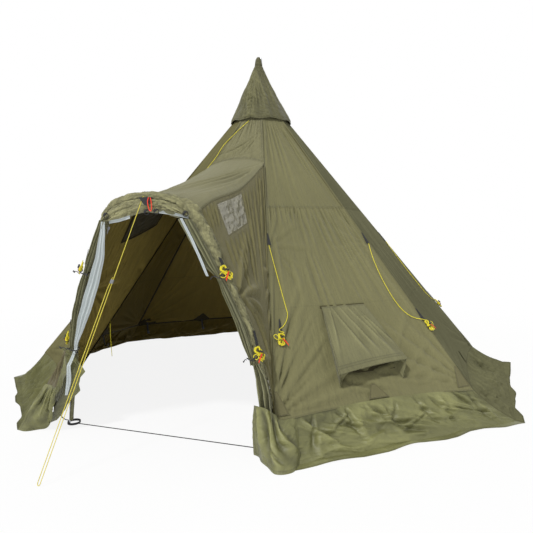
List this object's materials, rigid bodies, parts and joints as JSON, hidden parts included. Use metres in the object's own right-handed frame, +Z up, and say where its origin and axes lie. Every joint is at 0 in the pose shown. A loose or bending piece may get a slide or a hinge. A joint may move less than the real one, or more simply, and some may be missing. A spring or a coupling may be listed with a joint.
{
  "type": "tent",
  "caption": "Eight-sided cone tent on a centre pole, with an arched porch, tied-back door, side windows, hooded wall vent, ground skirt and yellow guylines, pitched",
  "frame": {"origin": "centre of the flat underside of the centre pole's foot, on the ground", "axes": "+Z up; -Y out of the porch doorway; +X to the right of someone who faces the tent from the doorway side"},
  "size_m": [4.49, 4.8872, 3.033],
  "materials": {
    "canopy_cloth": "matt olive tent cloth",
    "porch_cloth": "matt, slightly lighter olive tent cloth",
    "skirt_cloth": "light green coated cloth with a soft sheen",
    "window_film": "clear-greyish flexible film, wrinkled",
    "zip_tape": "light grey ribbed zip tape",
    "grey_plastic": "moulded grey plastic",
    "black_plastic": "moulded black plastic",
    "pole_metal": "satin drawn tube",
    "foot_rubber": "matt black rubber",
    "black_webbing": "woven black webbing and cord",
    "yellow_cord": "braided bright yellow cord"
  },
  "bodies": {
    "canopy": {"arch_pole": "pole_metal", "arch_sleeve": "porch_cloth", "cap_cord": "yellow_cord", "crown_ring": "black_plastic", "door_curtain_left": "porch_cloth", "door_curtain_right": "porch_cloth", "door_roll": "porch_cloth", "front_gore": "canopy_cloth", "front_guyline": "yellow_cord", "ground_strap": "black_webbing", "guyline_right": "yellow_cord", "guyline_right_front": "yellow_cord", "guyline_right_rear": "yellow_cord", "hank_left": "yellow_cord", "hank_left_front": "yellow_cord", "hank_left_rear": "yellow_cord", "hank_right": "yellow_cord", "hank_right_front": "yellow_cord", "hank_right_rear": "yellow_cord", "inner_cord": "yellow_cord", "peak_cap": "canopy_cloth", "pole_upper_tube": "pole_metal", "porch_hank_left_lower": "yellow_cord", "porch_hank_left_upper": "yellow_cord", "porch_hank_right_lower": "yellow_cord", "porch_hank_right_upper": "yellow_cord", "porch_roof": "porch_cloth", "porch_side_left": "canopy_cloth", "porch_side_right": "canopy_cloth", "skirt_left": "skirt_cloth", "skirt_left_front": "skirt_cloth", "skirt_left_rear": "skirt_cloth", "skirt_rear": "skirt_cloth", "skirt_right": "skirt_cloth", "skirt_right_front": "skirt_cloth", "skirt_right_rear": "skirt_cloth", "vent_gusset_left": "porch_cloth", "vent_gusset_right": "porch_cloth", "wall_left": "canopy_cloth", "wall_left_front": "canopy_cloth", "wall_left_rear": "canopy_cloth", "wall_rear": "canopy_cloth", "wall_right": "canopy_cloth", "wall_right_front": "canopy_cloth", "wall_right_rear": "canopy_cloth", "window_left": "window_film", "window_right": "window_film", "zip_tape_left": "zip_tape", "zip_tape_right": "zip_tape"},
    "pole_base": {"pole_lower_tube": "pole_metal", "pole_foot": "foot_rubber"},
    "lock": {"pole_lock_ring": "black_plastic"},
    "vent_flap": {"vent_hood": "porch_cloth", "vent_rod": "pole_metal"},
    "zip_runner_right": {"zip_slider_right": "grey_plastic"},
    "zip_runner_left": {"zip_slider_left": "grey_plastic"},
    "line_runner": {"line_slider": "grey_plastic", "front_guyline_return": "yellow_cord"}
  },
  "joints": [
    {"name": "pole_length", "type": "slide", "parent": "canopy", "child": "pole_base", "axis": [0, 0, 1], "range_m": [0, 0.35]},
    {"name": "pole_lock", "type": "hinge", "parent": "canopy", "child": "lock", "pos_m": [0, 0, 0.8275], "axis": [0, 0, 1], "range_deg": [0, 120]},
    {"name": "vent_tilt", "type": "hinge", "parent": "canopy", "child": "vent_flap", "pos_m": [1.0213, -1.0213, 0.84494], "axis": [-0.7071, -0.7071, 0], "range_deg": [-8, 15], "deforming": ["vent_gusset_left", "vent_gusset_right"]},
    {"name": "zip_right", "type": "slide", "parent": "canopy", "child": "zip_runner_right", "axis": [0.4597, 0.1188, -0.8801], "range_m": [0, 0.237]},
    {"name": "zip_left", "type": "slide", "parent": "canopy", "child": "zip_runner_left", "axis": [-0.4178, 0.0708, -0.9058], "range_m": [0, 0.813]},
    {"name": "line_length", "type": "slide", "parent": "canopy", "child": "line_runner", "axis": [-0.1744, -0.3521, -0.9196], "range_m": [0, 0.45], "deforming": ["front_guyline_return"]}
  ]
}
